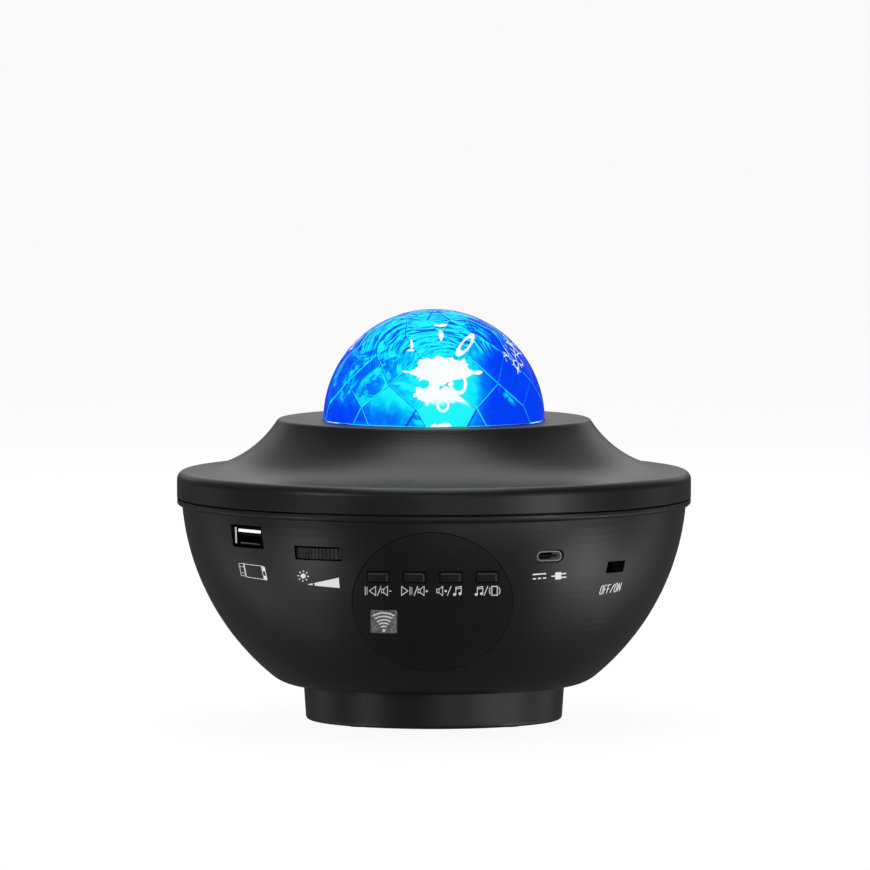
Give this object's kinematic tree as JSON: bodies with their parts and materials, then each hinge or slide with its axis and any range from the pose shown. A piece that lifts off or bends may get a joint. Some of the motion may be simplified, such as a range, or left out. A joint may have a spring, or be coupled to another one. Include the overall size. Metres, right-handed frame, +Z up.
{
  "type": "star night light projector",
  "caption": "Bowl-shaped night light on a round foot: a flared cover with a glowing lens dome, a front panel with push buttons, a thumb wheel, a slide switch and two sockets.",
  "frame": {"origin": "centre of the base, on the surface that the light stands on", "axes": "+Z up through the dome, -Y towards the control panel, +X to the right seen from the panel"},
  "size_m": [0.168, 0.168, 0.1346],
  "materials": {
    "shell_black": "satin, very fine grain",
    "dome_lens": "clear faceted plastic, lit blue from inside",
    "panel_black": "satin",
    "window_grey": "smoked, gloss",
    "button_black": "satin",
    "wheel_black": "ribbed",
    "pad_rubber": "matte",
    "socket_metal": "nickel plated",
    "socket_plastic": "matte",
    "inner_plastic": "matte",
    "screw_steel": "plated",
    "speaker_steel": "black lacquer",
    "magnet_metal": "zinc plated",
    "cone_paper": "pressed pulp",
    "board_green": "solder mask",
    "chip_black": "moulded",
    "plug_white": "moulded nylon",
    "gear_white": "acetal",
    "clear_lens": "clear",
    "motor_steel": "drawn can",
    "sink_aluminium": "cast",
    "led_board_white": "white solder mask",
    "led_yellow": "phosphor",
    "laser_brass": "turned",
    "wire_red": "PVC",
    "wire_grey": "PVC",
    "wire_blue": "PVC"
  },
  "bodies": {
    "housing": {"lower_bowl": "shell_black", "top_cover": "shell_black", "lens_dome": "dome_lens", "dome_retainer": "inner_plastic", "dome_screws": "screw_steel", "control_panel": "panel_black", "ir_window": "window_grey", "foot_base": "shell_black", "foot_pads": "pad_rubber", "foot_screws": "screw_steel", "speaker_frame": "speaker_steel", "speaker_magnet": "magnet_metal", "speaker_screws": "screw_steel", "main_board": "board_green", "board_screws": "screw_steel", "board_chips": "chip_black", "board_connectors": "plug_white", "usb_a_shell": "socket_metal", "usb_a_tongue": "socket_plastic", "usb_c_shell": "socket_metal", "usb_c_tongue": "socket_plastic", "potentiometer": "inner_plastic", "switch_body": "inner_plastic", "tact_switches": "inner_plastic", "ir_receiver": "chip_black", "light_chassis": "inner_plastic", "chassis_screws": "screw_steel", "retaining_ring": "screw_steel", "gear_motor": "motor_steel", "motor_screws": "screw_steel", "heat_sink": "sink_aluminium", "heat_sink_screws": "screw_steel", "led_board": "led_board_white", "leds": "led_yellow", "led_lenses": "clear_lens", "laser_module": "laser_brass", "laser_grating": "clear_lens", "speaker_lead": "wire_red", "led_lead": "wire_grey", "motor_lead": "wire_blue", "ir_lead": "wire_grey"},
    "wheel": {"brightness_wheel": "wheel_black"},
    "switch": {"switch_knob": "button_black"},
    "previous": {"button_previous": "button_black"},
    "next": {"button_next": "button_black"},
    "light": {"button_light": "button_black"},
    "effect": {"button_effect": "button_black"},
    "rotor": {"ring_gear": "gear_white", "ripple_lens": "clear_lens"},
    "pinion": {"motor_shaft": "screw_steel", "drive_pinion": "gear_white"},
    "diaphragm": {"speaker_cone": "cone_paper"}
  },
  "joints": [
    {"name": "wheel_turn", "type": "hinge", "parent": "housing", "child": "wheel", "pos_m": [-0.03212, -0.06091, 0.06], "axis": [0, 0, 1], "range_deg": [-140, 140]},
    {"name": "switch_slide", "type": "slide", "parent": "housing", "child": "switch", "axis": [0.6691, 0.7431, 0], "range_m": [-0.003, 0]},
    {"name": "press_previous", "type": "slide", "parent": "housing", "child": "previous", "axis": [0, 1, 0], "range_m": [0, 0.0005], "stiffness_N_per_m": 600},
    {"name": "press_next", "type": "slide", "parent": "housing", "child": "next", "axis": [0, 1, 0], "range_m": [0, 0.0005], "stiffness_N_per_m": 600},
    {"name": "press_light", "type": "slide", "parent": "housing", "child": "light", "axis": [0, 1, 0], "range_m": [0, 0.0005], "stiffness_N_per_m": 600},
    {"name": "press_effect", "type": "slide", "parent": "housing", "child": "effect", "axis": [0, 1, 0], "range_m": [0, 0.0005], "stiffness_N_per_m": 600},
    {"name": "ripple_spin", "type": "hinge", "parent": "housing", "child": "rotor", "pos_m": [0, 0, 0.0866], "axis": [0, 0, 1], "continuous": true},
    {"name": "pinion_spin", "type": "hinge", "parent": "housing", "child": "pinion", "pos_m": [0.0392, 0, 0.0866], "axis": [0, 0, 1], "continuous": true},
    {"name": "cone_stroke", "type": "slide", "parent": "housing", "child": "diaphragm", "axis": [0, 0, 1], "range_m": [-0.0008, 0.0008], "stiffness_N_per_m": 600}
  ],
  "couplings": [
    {"joint": "pinion_spin", "follows": "ripple_spin", "ratio": -6}
  ]
}
